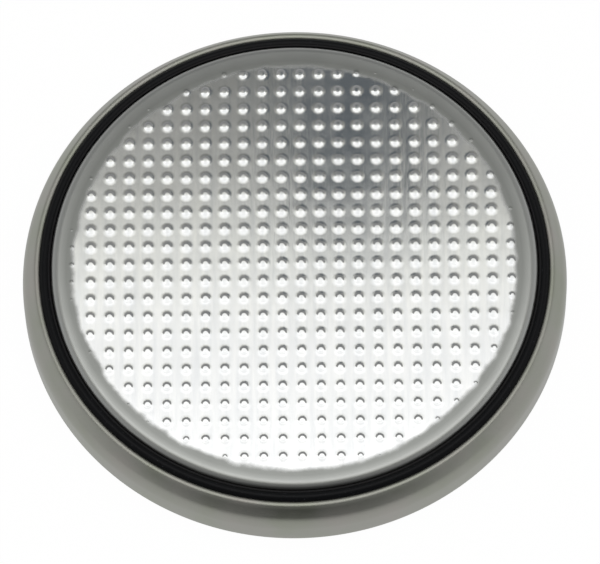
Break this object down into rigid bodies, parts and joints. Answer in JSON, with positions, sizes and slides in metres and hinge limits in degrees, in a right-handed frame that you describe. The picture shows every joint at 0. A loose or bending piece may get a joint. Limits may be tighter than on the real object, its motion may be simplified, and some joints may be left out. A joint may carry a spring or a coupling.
{
  "type": "lithium coin cell",
  "caption": "Flat round lithium coin cell: satin steel can crimped over a black seal, with a negative cap of small bumps. Lies on its positive face.",
  "frame": {"origin": "centre of the can's flat base, the positive face that the cell lies on", "axes": "+Z along the cell's axis, up through the negative cap; +X along the rows of bumps"},
  "size_m": [0.02, 0.02, 0.0025],
  "materials": {
    "can_steel": "satin",
    "cap_steel": "polished",
    "black_polypropylene": "satin",
    "bitumen": "gloss",
    "lithium": "satin",
    "nonwoven": "matte",
    "manganese_dioxide": "matte",
    "ring_steel": "satin"
  },
  "bodies": {
    "root": {"positive_can": "can_steel", "negative_cap": "cap_steel", "sealing_gasket": "black_polypropylene", "sealant_bead": "bitumen", "lithium_anode": "lithium", "separator": "nonwoven", "cathode_pellet": "manganese_dioxide", "cathode_ring": "ring_steel"}
  },
  "joints": []
}
